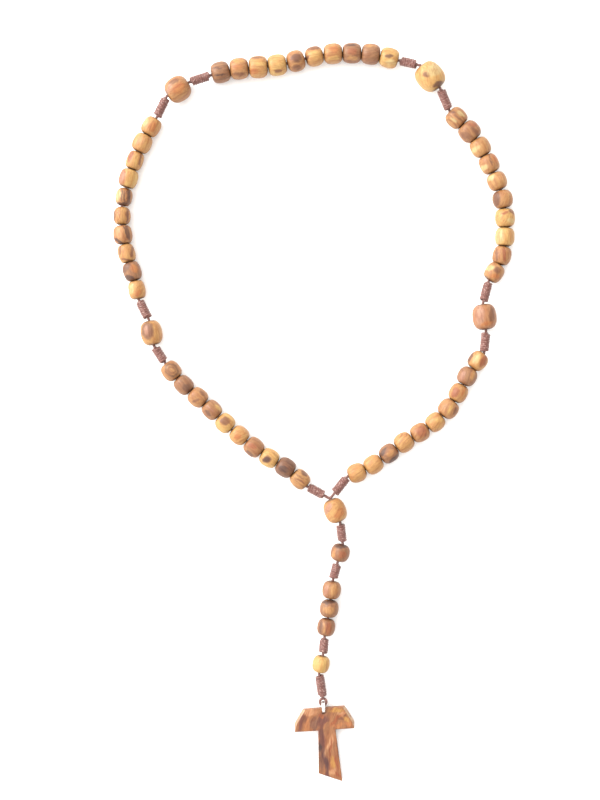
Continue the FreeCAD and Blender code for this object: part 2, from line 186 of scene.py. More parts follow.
# Marks on a bead's upper side: middle, half length and half width in millimetres, heading in degrees, colour
BEAD_MARKS = {
    "1-03": [(0.5, 0.3, 1.8, 1.3, 40, "sand"), (2.2, -2.0, 2.8, 0.8, 45, "dark"),
             (-2.6, 0.6, 2.6, 0.8, 60, "dark")],
    "1-05": [(0.6, 0.5, 2.2, 2.4, 40, "rust")],
    "1-06": [(1.2, 1.0, 1.6, 1.3, 0, "yellow")],
    "1-07": [(0.5, 0, 2.5, 0.6, 60, "yellow"), (2.6, -1.0, 1.6, 0.8, 70, "brown")],
    "1-08": [(-1.6, 0.2, 2.2, 1.3, 65, "rust"), (1.6, 0.5, 1.8, 0.7, 65, "orange")],
    "1-09": [(-2.6, -0.2, 2.4, 1.1, 70, "pink"), (2.0, 0.4, 2.2, 1.0, 75, "sand")],
    "1-10": [(-0.9, 0.9, 2.7, 1.1, 62, "cream"), (-3.1, 1.5, 2.6, 0.6, 62, "umber"),
             (2.1, -0.2, 2.8, 1.3, 62, "rust")],
    "2-01": [(-1.9, 1.7, 1.8, 1.2, 20, "cream"), (0.8, 0.8, 1.5, 1.2, 0, "brown"),
             (0, -1.9, 2.0, 1.0, 0, "orange")],
    "2-02": [(0.5, 0.4, 3.0, 0.6, 90, "rust"), (-2.6, 0, 3.0, 0.5, 90, "brown")],
    "2-03": [(-2.5, 0, 3.4, 1.5, 88, "cream"), (2.2, 0, 3.0, 1.0, 90, "sand")],
    "2-04": [(2.5, 2.3, 1.6, 0.9, -30, "brown"), (1.9, -1.4, 1.7, 0.9, -10, "cream"),
             (-0.5, 1.7, 1.8, 0.5, 20, "rust")],
    "2-05": [(-2.8, 0, 3.4, 1.2, 90, "umber"), (1.0, 0.3, 2.7, 1.4, 75, "sand")],
    "2-06": [(-2.6, 1.1, 1.6, 1.0, 60, "cream"), (1.0, 1.0, 1.4, 1.0, 40, "peach")],
    "2-07": [(2.0, 1.7, 2.0, 1.1, -60, "orange"), (-2.4, -1.9, 1.6, 1.1, 30, "cream"),
             (0.2, 1.1, 3.0, 0.3, -73, "umber")],
    "2-08": [(-2.4, -1.3, 1.8, 1.1, 30, "cream")],
    "2-09": [(0.7, 2.3, 2.2, 1.0, 0, "rust"), (-1.9, -2.1, 2.2, 1.1, -30, "brown"),
             (1.6, -0.4, 2.0, 1.0, -40, "brown")],
    "2-10": [(-1.8, 1.7, 1.3, 0.7, -20, "brown"), (0.6, -0.9, 2.6, 0.3, -35, "brown"),
             (1.4, 1.0, 1.8, 0.8, -35, "cream"), (-1.6, -1.6, 1.6, 0.6, -40, "cream")],
    "3-01": [(-0.1, -0.2, 1.9, 0.8, 0, "umber"), (0, 2.4, 2.6, 0.8, 0, "yellow"),
             (0.3, -2.6, 2.2, 0.9, 0, "cream")],
    "3-02": [(0, 2.8, 2.6, 0.8, 0, "sand")],
    "3-03": [(-0.5, 2.5, 2.2, 0.5, 0, "dark"), (0, -0.2, 2.0, 1.4, 0, "rust"),
             (0, -2.8, 2.6, 0.7, 0, "sand")],
    "3-04": [(0.3, 0.9, 1.9, 1.5, 0, "orange"), (0, -2.6, 2.4, 0.8, 0, "yellow")],
    "3-05": [(-0.3, 3.0, 3.2, 1.1, 8, "brown"), (0.3, -0.1, 2.2, 1.6, 6, "yellow"),
             (-3.2, -1.6, 1.4, 0.7, 70, "umber")],
    "3-06": [(0.2, 0.4, 2.3, 1.8, 6, "umber"), (0.4, -3.2, 2.0, 0.8, 6, "brown"),
             (-0.2, 3.4, 2.2, 0.6, 6, "sand")],
    "3-07": [(0.5, -3.1, 1.6, 0.6, 5, "brown"), (0, 0.9, 3.4, 2.2, 0, "yellow")],
    "3-08": [(-1.6, -2.6, 2.0, 1.1, -10, "orange"), (-0.6, 3.2, 2.6, 0.7, 0, "brown"),
             (0.4, 0.8, 3.0, 1.2, 0, "yellow")],
    "3-09": [(-0.4, -0.3, 2.4, 0.9, 0, "orange"), (0, 2.4, 2.6, 0.9, 0, "yellow"),
             (0, -3.0, 2.6, 0.8, 0, "brown")],
    "3-10": [(0, -1.9, 2.4, 0.3, 0, "dark"), (-0.6, 0.6, 2.0, 0.25, 5, "dark")],
    "4-01": [(0.8, -0.6, 2.1, 1.4, 60, "orange"), (-2.2, 1.4, 2.0, 1.0, 60, "cream")],
    "4-02": [(0, 0.3, 1.8, 1.5, 60, "peach")],
    "4-03": [(-1.4, 1.6, 2.6, 1.0, 70, "rust"), (0.9, -0.2, 2.8, 0.5, 80, "yellow"),
             (2.6, 0, 2.6, 0.4, 80, "brown")],
    "4-04": [(-2.2, 0.2, 3.6, 1.4, 82, "rust"), (-2.5, 0.4, 2.6, 1.0, 82, "pink"),
             (1.8, 0, 3.4, 1.7, 82, "yellow")],
    "4-05": [(-2.2, 0.4, 2.8, 1.1, 88, "cream"), (1.7, 0, 3.4, 1.4, 90, "umber"),
             (-0.4, 0.4, 3.2, 0.3, 90, "dark"), (1.2, 0.4, 3.0, 0.25, 90, "sand"),
             (2.4, 0.4, 3.0, 0.3, 90, "dark"), (-0.8, -3.2, 2.8, 0.6, 0, "dark")],
    "4-06": [(-2.8, 0, 3.2, 0.5, 88, "brown"), (2.6, 0, 3.2, 0.5, 90, "brown"),
             (-1.0, 0, 3.0, 0.2, 90, "rust")],
    "4-07": [(-1.1, 0.6, 2.6, 1.7, 75, "peach"), (2.3, 0.6, 3.2, 0.8, -76, "umber"),
             (1.5, 1.0, 3.0, 0.2, -70, "dark"), (-1.4, -3.0, 2.6, 0.6, -30, "dark")],
    "4-08": [(2.5, 0.5, 2.6, 0.4, 85, "brown"), (-2.5, 0.5, 2.4, 0.4, 85, "brown"),
             (0, -2.9, 2.2, 0.5, -10, "brown")],
    "4-09": [(-2.4, 1.2, 2.6, 1.3, 60, "umber"), (-1.0, -2.9, 2.2, 1.0, -10, "dark"),
             (1.2, 1.0, 2.0, 1.3, -60, "orange")],
    "4-10": [(-2.0, 0, 2.2, 0.9, 80, "cream"), (0.8, -1.6, 1.6, 0.9, 60, "orange")],
    "5-01": [(0.4, 0.3, 3.0, 2.5, -50, "dark"), (0.4, 0.3, 2.5, 2.0, -50, "sand"),
             (0.4, 0.3, 1.8, 1.4, -50, "brown"), (0.5, 0.2, 1.1, 0.8, -50, "sand")],
    "5-02": [(1.4, -1.3, 2.0, 1.5, -40, "umber")],
    "5-03": [(-0.5, -1.3, 1.6, 0.6, 20, "brown"), (2.0, 1.8, 1.6, 0.7, -50, "brown")],
    "5-04": [(2.7, 1.1, 1.8, 0.7, -50, "yellow"), (-0.6, 0.6, 2.2, 0.4, -45, "pink"),
             (-1.4, -1.4, 1.8, 0.8, -45, "umber")],
    "5-05": [(0.2, 0.9, 2.1, 1.7, 0, "brown"), (-1.6, -1.8, 2.0, 0.7, -40, "yellow"),
             (0.8, -2.4, 1.6, 0.6, -30, "yellow")],
    "5-06": [(-0.6, -0.7, 1.8, 0.9, 20, "orange")],
    "5-07": [(-0.4, 0.5, 1.8, 1.2, -20, "rust"), (-1.6, -2.4, 1.8, 0.8, -40, "umber")],
    "5-08": [(-1.0, -0.5, 1.8, 1.5, 20, "umber"), (-1.0, -0.5, 1.3, 1.0, 20, "dark"),
             (1.6, 1.4, 1.8, 1.2, -40, "yellow")],
    "5-09": [(-0.9, -0.5, 2.0, 1.4, -20, "dark"), (1.6, 2.1, 1.9, 0.9, -40, "umber"),
             (0.9, -0.4, 1.2, 0.4, 60, "umber")],
    "5-10": [(0, 1.2, 2.6, 0.25, -28, "brown"), (-0.2, -0.4, 2.8, 0.25, -28, "brown"),
             (1.6, 2.6, 1.6, 0.8, -40, "umber")],
    "L1": [(-2.4, 0.6, 4.4, 1.8, 90, "pink"), (2.6, 0.6, 3.6, 1.3, 85, "brown"),
           (0.6, -3.0, 2.6, 0.9, 10, "orange")],
    "L2": [(-2.0, -0.2, 1.4, 1.1, 0, "brown"), (2.8, -3.8, 2.2, 0.9, 30, "umber"),
           (1.4, 2.0, 3.6, 2.6, 30, "cream")],
    "L3": [(-1.4, 2.4, 2.4, 1.0, 20, "brown"), (-3.4, -0.6, 2.2, 1.0, 70, "pink"),
           (0.8, -0.6, 3.0, 1.8, 40, "orange")],
    "L4": [(-1.3, 0.7, 3.8, 2.5, 95, "umber"), (-1.3, 0.8, 3.2, 1.9, 95, "brown"),
           (-1.8, 1.0, 2.0, 0.9, 95, "pink")],
    "C": [(-3.2, 0.9, 2.8, 1.2, 60, "pink"), (1.8, -0.8, 2.6, 1.6, 50, "orange")],
    "P1": [(0.3, 3.0, 2.6, 0.9, 0, "dark"), (0.8, -0.6, 1.7, 1.5, 0, "rust"),
           (-2.8, 0, 2.0, 0.6, 80, "sand")],
    "P2": [(-2.5, 0, 2.2, 0.9, 80, "pink"), (0.9, 0.3, 2.2, 1.6, 80, "sand")],
    "P3": [(-0.3, 3.0, 2.8, 0.7, 0, "dark"), (-0.2, -0.2, 2.2, 1.6, 0, "sand")],
    "P4": [(-2.4, 0.2, 2.8, 0.6, 88, "umber"), (0.9, -0.2, 2.8, 1.3, 88, "rust"),
           (-0.9, 0.3, 3.0, 0.3, 90, "sand")],
    "P5": [(0.6, 0, 3.0, 2.6, 80, "yellow")],
}


# ---------------------------------------------------------------- places

def linear(channel):
    """A display value from 0 to 255 as linear light."""
    c = channel / 255
    return c / 12.92 if c <= 0.04045 else ((c + 0.055) / 1.055) ** 2.4


def colour(display):
    """The reflectance that shows as a given tone in this light."""
    return tuple(linear(c) * share for c, share in zip(display, TONE_EXPOSURE)) + (1.0,)


def heading_vector(degrees):
    return Vector((math.cos(math.radians(degrees)), math.sin(math.radians(degrees)), 0))


def level(points, height):
    return [Vector((x, y, height)) for x, y in points]


def mouths(x, y, heading, length, diameter):
    """The two flex points just outside a bead's ends."""
    centre = Vector((x, y, diameter / 2))
    reach = heading_vector(heading) * (length / 2 + MOUTH_GAP)
    return centre - reach, centre + reach


def axes_along(a, b):
    """A matrix whose X runs from a to b, with Z as near to up as it can be, placed midway."""
    x = (b - a).normalized()
    y = UP.cross(x).normalized()
    z = x.cross(y)
    matrix = Matrix((x, y, z)).transposed().to_4x4()
    matrix.translation = (a + b) / 2
    return matrix


# ---------------------------------------------------------------- meshes

def new_piece(name, verts, faces, node, material):
    """A mesh piece that stands for a CAD node, rides on that node's body and has one material."""
    mesh = bpy.data.meshes.new(name)
    mesh.from_pydata([tuple(v) for v in verts], [], faces)
    mesh.update()
    mesh.shade_smooth()
    piece = bpy.data.objects.new(name, mesh)
    bpy.context.scene.collection.objects.link(piece)
    mesh.materials.append(material)
    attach(piece, BODY_OF[node])
    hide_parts(node)
    return piece


def point_values(mesh, name, kind, values):
    """Stores one value for each vertex."""
    layer = mesh.attributes.new(name, kind, "POINT")
    key = {"FLOAT": "value", "FLOAT_VECTOR": "vector", "FLOAT_COLOR": "color"}[kind]
    flat = [c for v in values for c in v] if kind != "FLOAT" else list(values)
    layer.data.foreach_set(key, flat)


def eased(share):
    share = min(1.0, max(0.0, share))
    return share * share * (3 - 2 * share)


def bead_profile(length, diameter, ends):
    """Points (x, radius) from one bore mouth over the belly to the other, and back through the bore."""
    half = length / 2
    radius = diameter / 2
    mouth = BORE_RADIUS * MOUTH_FLARE
    start = math.asin((mouth / radius) ** (ends / 2))
    steps = 34
    outside = []
    for i in range(steps + 1):
        angle = start + (math.pi - 2 * start) * i / steps
        c = math.cos(angle)
        x = math.copysign(half * abs(c) ** (2 / BELLY), c)
        outside.append((x, radius * math.sin(angle) ** (2 / ends)))
    lip = 0.15 * MM
    depths = (half - lip, half * 0.5, 0, -half * 0.5, -half + lip)
    inside = [(-x, BORE_RADIUS) for x in depths]
    return outside, inside


def bead_mesh(length, diameter, ends, rng):
    """Local vertices of one turned bead, slightly uneven, its faces, and how much painted shade each vertex
    takes: in the bore, at its mouths and on its end faces.
    """
    outside, inside = bead_profile(length, diameter, ends * rng.uniform(0.95, 1.05))
    profile = outside + inside
    around = 56
    squareness = rng.uniform(0.0, 0.022)
    phase = rng.uniform(0, math.pi)
    offset = Vector((rng.uniform(-50, 50), rng.uniform(-50, 50), rng.uniform(-50, 50)))
    taper = rng.uniform(-0.018, 0.018)
    end_shade_strength = rng.uniform(0.6, 0.95)
    verts = []
    painted_shade = []
    for row, (x, radius) in enumerate(profile):
        bored = row >= len(outside)
        for k in range(around):
            angle = 2 * math.pi * k / around
            r = radius
            if not bored:
                worn = noise.noise(Vector((x / MM * 0.35, math.cos(angle), math.sin(angle))) * 0.9 + offset)
                share = min(1.0, max(0.0, (radius - BORE_RADIUS * 1.2) / (diameter / 4)))
                r *= 1 - share * (squareness * (1 - math.cos(4 * angle + phase)) / 2 + 0.012 * (1 + worn))
                r *= 1 + share * taper * x / length
            verts.append(Vector((x, r * math.cos(angle), r * math.sin(angle))))
            # Painted shade: full inside the bore, fading over 0.55 mm from its mouths, and spread over the end
            # faces where the beads touch, at a strength that differs from bead to bead.
            if bored:
                painted_shade.append(1.0)
            else:
                rim = (radius - BORE_RADIUS) / MM
                face = (abs(x) * 2 / length - 0.83) / 0.15
                painted_shade.append(max(0.0, 1 - rim / 0.55, end_shade_strength * eased(face)))
    faces = []
    rows = len(profile)
    for row in range(rows):
        after = (row + 1) % rows
        for k in range(around):
            nxt = (k + 1) % around
            faces.append((row * around + k, after * around + k, after * around + nxt, row * around + nxt))
    return verts, faces, painted_shade


def log_axes(figure, angle, rng):
    """The turn and the shift, in millimetres, from a bead's middle to log coordinates (X along the grain,
    pith at 0), and the figure's numbers for the wood material."""
    rise, pith, distance, strength, spacing = FIGURES[figure]
    angle += rng.uniform(-8, 8)
    grain = Matrix.Rotation(math.radians(angle), 3, "Z") @ Matrix.Rotation(-math.radians(rise), 3, "Y")
    pith_angle = math.radians(pith + rng.uniform(-6, 6))
    to_pith = Vector((rng.uniform(-3, 3), distance * math.cos(pith_angle), distance * math.sin(pith_angle)))
    return grain.transposed(), to_pith, (spacing, strength, 0.0)


def patch_share(x, y, patch, softness):
    """How much an oval patch covers a point: 1 inside, fading over its edge."""
    px, py, along, across, heading = patch[:5]
    turn = math.radians(heading)
    dx = ((x - px) * math.cos(turn) + (y - py) * math.sin(turn)) / along
    dy = (-(x - px) * math.sin(turn) + (y - py) * math.cos(turn)) / across
    return eased((1 + softness / 2 - math.hypot(dx, dy)) / softness)


def paint_wood(mesh, centre, look, painted_shade, marks, rng):
    """Stores on a bead's mesh what the wood material reads: log coordinates, tones, figure and painted shade.
    """
    tone, figure, angle = look
    turn, to_pith, numbers = log_axes(figure, angle, rng)
    shift = rng.uniform(-40, 40)
    logs = []
    lights = []
    darks = []
    for v in mesh.vertices:
        d = (v.co - centre) / MM
        q = turn @ d - to_pith
        logs.append((q.x + shift, q.y, q.z))
        light, dark = (Vector(c) for c in TONES[tone])
        if marks and d.z > MARK_FOOT:
            waver = noise.noise_vector(d * 0.7 + Vector((shift, 0, 0))) * 0.45
            for mark in marks:
                fade = min(1.0, d.z - MARK_FOOT)
                share = patch_share(d.x + waver.x, d.y + waver.y, mark, MARK_SOFTNESS) * fade * MARK_STRENGTH
                light = light.lerp(Vector(MARKS[mark[5]]), share)
                dark = dark.lerp(Vector(MARKS[mark[5]]) * MARK_RING_SHADE, share)
        lights.append(colour(light))
        darks.append(colour(dark))
    point_values(mesh, "log", "FLOAT_VECTOR", logs)
    point_values(mesh, "light", "FLOAT_COLOR", lights)
    point_values(mesh, "dark", "FLOAT_COLOR", darks)
    point_values(mesh, "figure", "FLOAT_VECTOR", [numbers] * len(logs))
    point_values(mesh, "painted_shade", "FLOAT", painted_shade)


def make_bead(name, a, b, length, diameter, look, node, seed, key, ends):
    """A bead threaded between two flex points, resting on the surface."""
    rng = random.Random(seed)
    verts, faces, painted_shade = bead_mesh(length, diameter, ends, rng)
    place = axes_along(a, b)
    play = BORE_RADIUS - CORD_RADIUS
    place.translation.z = min(a.z + play, max(a.z - play, diameter / 2 * 0.995))
    place = place @ Matrix.Rotation(rng.uniform(0, 2 * math.pi), 4, "X")
    verts = [place @ v for v in verts]
    piece = new_piece(name, verts, faces, node, WOOD)
    paint_wood(piece.data, place.translation, look, painted_shade, BEAD_MARKS.get(key), rng)
    return piece


def sweep(points, radius, twist_pitch=2.6 * MM, around=15, lobes=3):
    """A twisted cord of three plies along a line of points, with round ends centred on the first and last.
    Returns vertices, faces and strand coordinates, which are the length in millimetres, the turn within the
    twist and the radius share."""
    caps = 5
    tangents = []
    for i in range(len(points)):
        before = points[max(i - 1, 0)]
        after = points[min(i + 1, len(points) - 1)]
        tangents.append((after - before).normalized())
    rings = [(points[0] - tangents[0] * radius * math.cos(math.pi / 2 * k / caps), tangents[0],
              math.sin(math.pi / 2 * k / caps)) for k in range(1, caps)]
    rings += [(p, t, 1.0) for p, t in zip(points, tangents)]
    rings += [(points[-1] + tangents[-1] * radius * math.sin(math.pi / 2 * k / caps), tangents[-1],
               math.cos(math.pi / 2 * k / caps)) for k in range(1, caps)]
    side = UP if abs(rings[0][1].z) < 0.8 else Vector((1, 0, 0))
    side = (side - rings[0][1] * side.dot(rings[0][1])).normalized()
    verts = []
    strands = []
    travelled = 0.0
    last = rings[0][0]
    for centre, tangent, share in rings:
        travelled += (centre - last).length
        last = centre
        side = (side - tangent * side.dot(tangent)).normalized()
        other = tangent.cross(side)
        turn = travelled / twist_pitch
        for k in range(around):
            angle = 2 * math.pi * k / around
            ply = lobes * (k / around - turn)
            bulge = 1 - 0.17 * (1 - abs(math.sin(math.pi * ply)) ** 0.7)
            r = radius * share * bulge
            verts.append(centre + (side * math.cos(angle) + other * math.sin(angle)) * r)
            strands.append((travelled / MM, ply, bulge))
    faces = []
    for row in range(len(rings) - 1):
        for k in range(around):
            nxt = (k + 1) % around
            a = row * around
            faces.append((a + k, a + nxt, a + around + nxt, a + around + k))
    faces.append(tuple(reversed(range(around))))
    end = (len(rings) - 1) * around
    faces.append(tuple(range(end, end + around)))
    return verts, faces, strands


def spaced(a, b, step=0.2 * MM):
    count = max(2, int((b - a).length / step))
    return [a.lerp(b, i / count) for i in range(count + 1)]


def cord_piece(name, runs, node=None):
    """One piece from one or more swept lines of cord."""
    verts = []
    faces = []
    strands = []
    for points in runs:
        v, f, s = sweep(points, CORD_RADIUS)
        base = len(verts)
        verts += v
        faces += [tuple(i + base for i in face) for face in f]
        strands += s
    piece = new_piece(name, verts, faces, node or name, CORD)
    point_values(piece.data, "strand", "FLOAT_VECTOR", strands)
    return piece


def knot_wraps(a, b, rng):
    """The wound turns of a knot between two ends of its barrel: a helix that starts and ends on the axis."""
    along = (b - a).normalized()
    length = (b - a).length
    side = UP.cross(along).normalized()
    up = along.cross(side)
    turns = max(5, round((length - CORD_DIAMETER) / (0.88 * MM)))
    winding = KNOT_RADIUS - CORD_RADIUS
    lead = 0.4
    phase = rng.uniform(0, 2 * math.pi)
    steps = turns * 30
    points = []
    for i in range(steps + 1):
        t = turns * i / steps
        rise = min(1.0, min(t, turns - t) / lead)
        radius = winding * (rise * rise * (3 - 2 * rise)) * (1 + 0.03 * math.sin(t * 2.1 + phase))
        angle = phase + 2 * math.pi * t
        x = CORD_RADIUS + (length - CORD_DIAMETER) * t / turns + 0.06 * MM * math.sin(t * 1.7 + phase)
        points.append(a + along * x + (side * math.cos(angle) + up * math.sin(angle)) * radius)
    return points


def make_knot(name, a, b, seed, start_gap=KNOT_GAP, end_gap=KNOT_GAP):
    rng = random.Random(seed)
    along = (b - a).normalized()
    wraps = knot_wraps(a + along * start_gap, b - along * end_gap, rng)
    return cord_piece(name, [wraps, spaced(a, b)])


def smooth_route(name, points):
    """Points along the smooth cord of a route: a NURBS spline with the route's points as its controls."""
    curve = bpy.data.curves.new(name + "_route", "CURVE")
    curve.dimensions = "3D"
    curve.resolution_u = 24
    spline = curve.splines.new("NURBS")
    spline.points.add(len(points) - 1)
    for target, p in zip(spline.points, points):
        target.co = (p.x, p.y, p.z, 1.0)
    spline.order_u = 3
    spline.use_endpoint_u = True
    holder = bpy.data.objects.new(name + "_route", curve)
    line = bpy.data.meshes.new_from_object(holder)
    followed = [v.co.copy() for v in line.vertices]
    bpy.data.objects.remove(holder)
    bpy.data.curves.remove(curve)
    bpy.data.meshes.remove(line)
    return followed


# ---------------------------------------------------------------- materials

class Graph:
    """Builds a material's nodes. An input is given as a value or as another node's output."""

    def __init__(self, name):
        self.material = bpy.data.materials.new(name)
        self.material.use_nodes = True
        self.tree = self.material.node_tree
        self.tree.nodes.clear()

    def node(self, kind, inputs, **settings):
        made = self.tree.nodes.new(kind)
        for key, value in settings.items():
            setattr(made, key, value)
        for key, value in inputs.items():
            if isinstance(value, bpy.types.NodeSocket):
                self.tree.links.new(value, made.inputs[key])
            else:
                made.inputs[key].default_value = value
        return made

    def math(self, operation, a, b):
        return self.node("ShaderNodeMath", {0: a, 1: b}, operation=operation).outputs[0]

    def vector(self, operation, a, b):
        return self.node("ShaderNodeVectorMath", {0: a, 1: b}, operation=operation).outputs[0]

    def attribute(self, name, output):
        return self.node("ShaderNodeAttribute", {}, attribute_name=name).outputs[output]

    def noise(self, vector, scale, detail, roughness=0.5):
        inputs = {"Vector": vector, "Scale": scale, "Detail": detail, "Roughness": roughness}
        return self.node("ShaderNodeTexNoise", inputs)

    def line_noise(self, position, scale, detail, roughness=0.5):
        inputs = {"W": position, "Scale": scale, "Detail": detail, "Roughness": roughness}
        return self.node("ShaderNodeTexNoise", inputs, noise_dimensions="1D").outputs[0]

    def ramp(self, value, low, high, to_low=0.0, to_high=1.0):
        inputs = {"Value": value, "From Min": low, "From Max": high, "To Min": to_low, "To Max": to_high}
        return self.node("ShaderNodeMapRange", inputs, interpolation_type="SMOOTHSTEP").outputs[0]

    def mix(self, share, a, b, blend="MIX"):
        made = self.node("ShaderNodeMix", {0: share, 6: a, 7: b}, data_type="RGBA", blend_type=blend)
        return made.outputs[2]

    def finish(self, inputs, height, bump_strength, bump_distance):
        """Ends the material in a Principled shader with a bump."""
        settings = {"Height": height, "Strength": bump_strength, "Distance": bump_distance}
        bump = self.node("ShaderNodeBump", settings)
        inputs["Normal"] = bump.outputs[0]
        shader = self.node("ShaderNodeBsdfPrincipled", inputs)
        self.node("ShaderNodeOutputMaterial", {"Surface": shader.outputs[0]})
        return self.material


def wood_material():
    """Oiled olive wood: wavering dark rings about the pith, fine fibres, pores, and painted shade in the
    bores, on the ends where beads touch and round the cross's hole.
    """
    g = Graph("olive_wood")
    log = g.attribute("log", "Vector")
    figure = g.node("ShaderNodeSeparateXYZ", {0: g.attribute("figure", "Vector")}).outputs
    spacing = figure[0]
    strength = figure[1]
    wander = g.noise(g.vector("MULTIPLY", log, (0.13, 0.30, 0.30)), 1.0, 2.0).outputs["Color"]
    wander = g.vector("MULTIPLY", g.vector("SUBTRACT", wander, (0.5, 0.5, 0.5)), (0.0, 3.4, 3.4))
    across = g.vector("MULTIPLY", g.vector("ADD", log, wander), (0.0, 1.0, 1.0))
    radius = g.node("ShaderNodeVectorMath", {0: across}, operation="LENGTH").outputs["Value"]
    rings = g.line_noise(g.math("DIVIDE", radius, spacing), 1.0, 2.5, 0.6)
    late = g.math("MULTIPLY", g.ramp(rings, 0.46, 0.62), strength)
    amount = g.math("MULTIPLY", late, 0.75)
    base = g.mix(amount, g.attribute("light", "Color"), g.attribute("dark", "Color"))
    fibres = g.noise(g.vector("MULTIPLY", log, (0.45, 6.5, 6.5)), 1.0, 3.0, 0.6).outputs[0]
    pores = g.noise(g.vector("MULTIPLY", log, (1.1, 13.0, 13.0)), 1.0, 1.0).outputs[0]
    cloud = g.noise(g.vector("MULTIPLY", log, (0.2, 0.45, 0.45)), 1.0, 2.0).outputs[0]
    streaks = g.noise(g.vector("MULTIPLY", log, (0.16, 1.5, 1.5)), 1.0, 3.0, 0.65).outputs[0]
    base = g.mix(g.ramp(cloud, 0.35, 0.75, 0.0, 0.5), base, (0.80, 0.52, 0.36, 1), "MULTIPLY")
    base = g.mix(g.ramp(streaks, 0.46, 0.62, 0.0, 0.7), base, (0.74, 0.60, 0.52, 1), "MULTIPLY")
    base = g.mix(g.ramp(fibres, 0.35, 0.7, 0.0, 0.38), base, (0.52, 0.36, 0.24, 1), "MULTIPLY")
    base = g.mix(g.ramp(pores, 0.66, 0.74, 0.0, 0.45), base, (0.30, 0.18, 0.10, 1), "MULTIPLY")
    # Painted shade: darkens the bores, the ends where beads touch and the rim of the cross's hole towards near
    # black.
    painted_shade_share = g.math("MULTIPLY", g.attribute("painted_shade", "Fac"), 0.85)
    base = g.mix(painted_shade_share, base, (0.040, 0.014, 0.007, 1))
    rough = g.ramp(fibres, 0.3, 0.75, 0.42, 0.62)
    height = g.math("SUBTRACT", fibres, g.ramp(pores, 0.64, 0.74, 0.0, 0.8))
    inputs = {"Base Color": base, "Roughness": rough, "Specular IOR Level": 0.5}
    return g.finish(inputs, height, 0.35, 0.00006)


def cord_material():
    """Waxed reddish-brown cord: fine filaments along each ply, painted shade in the grooves between them, and
    pale specks that are painted highlights on the waxed plies.
    """
    g = Graph("cord")
    strand = g.attribute("strand", "Vector")
    along, ply, bulge = g.node("ShaderNodeSeparateXYZ", {0: strand}).outputs
    filaments = g.noise(g.vector("MULTIPLY", strand, (1.6, 9.0, 0.0)), 1.0, 2.0, 0.6).outputs[0]
    painted_glints = g.noise(g.vector("MULTIPLY", strand, (1.3, 2.1, 0.0)), 1.0, 1.0).outputs[0]
    base = g.mix(g.ramp(filaments, 0.3, 0.7), (0.042, 0.011, 0.008, 1), (0.235, 0.085, 0.062, 1))
    # Painted highlights: pale specks on the plies stand in for glints off the waxed cord; they also raise the
    # bump.
    base = g.mix(g.ramp(painted_glints, 0.56, 0.68, 0.0, 0.8), base, (0.42, 0.27, 0.235, 1))
    # Painted shade in the grooves between the plies.
    crease_shade = g.ramp(bulge, 0.84, 0.93, 0.75, 0.0)
    base = g.mix(crease_shade, base, (0.028, 0.009, 0.008, 1))
    height = g.math("ADD", filaments, g.math("MULTIPLY", painted_glints, 0.6))
    inputs = {"Base Color": base, "Roughness": g.ramp(filaments, 0.2, 0.8, 0.62, 0.42), "IOR": 1.5,
              "Sheen Weight": 0.25, "Sheen Roughness": 0.4}
    return g.finish(inputs, height, 0.6, 0.00008)


def metal_material():
    """A bright plated wire with drawn scratches and a few dull patches."""
    g = Graph("ring_metal")
    place = g.node("ShaderNodeTexCoord", {}).outputs["Object"]
    scratches = g.noise(g.vector("MULTIPLY", place, (9000.0, 900.0, 900.0)), 1.0, 3.0, 0.6).outputs[0]
    patches = g.noise(place, 900.0, 2.0).outputs[0]
    base = g.mix(g.ramp(patches, 0.4, 0.7), (0.90, 0.89, 0.87, 1), (0.68, 0.66, 0.63, 1))
    rough = g.math("ADD", g.ramp(patches, 0.4, 0.75, 0.13, 0.30), g.math("MULTIPLY", scratches, 0.12))
    return g.finish({"Base Color": base, "Roughness": rough, "Metallic": 1.0}, scratches, 0.2, 0.00002)


def floor_material():
    """A pale, faintly mottled studio surface."""
    g = Graph("floor")
    place = g.node("ShaderNodeTexCoord", {}).outputs["Object"]
    mottle = g.noise(place, 18.0, 3.0).outputs[0]
    base = g.mix(mottle, (0.93, 0.93, 0.925, 1), (0.955, 0.955, 0.95, 1))
    grain = g.noise(place, 900.0, 2.0).outputs[0]
    return g.finish({"Base Color": base, "Roughness": 0.8}, grain, 0.05, 0.0001)


WOOD = wood_material()
CORD = cord_material()
METAL = metal_material()


# ---------------------------------------------------------------- camera and light

def make_camera():
    data = bpy.data.cameras.new("camera")
    data.sensor_width = SENSOR
    data.lens = SENSOR * (CAMERA_HEIGHT - SMALL_DIAMETER / 2) / FRAME_HEIGHT
    data.clip_start = 0.01
    camera = bpy.data.objects.new("camera", data)
    camera.location = (CAMERA_AT[0], CAMERA_AT[1], CAMERA_HEIGHT)
    bpy.context.scene.collection.objects.link(camera)
    bpy.context.scene.camera = camera


def area_light(name, place, size, power, tint):
    """A square soft light aimed at the middle of the object."""
    data = bpy.data.lights.new(name, "AREA")
    data.size = size
    data.energy = power
    data.color = tint
    light = bpy.data.objects.new(name, data)
    light.location = place
    light.rotation_euler = (-Vector(place)).to_track_quat("-Z", "Y").to_euler()
    bpy.context.scene.collection.objects.link(light)


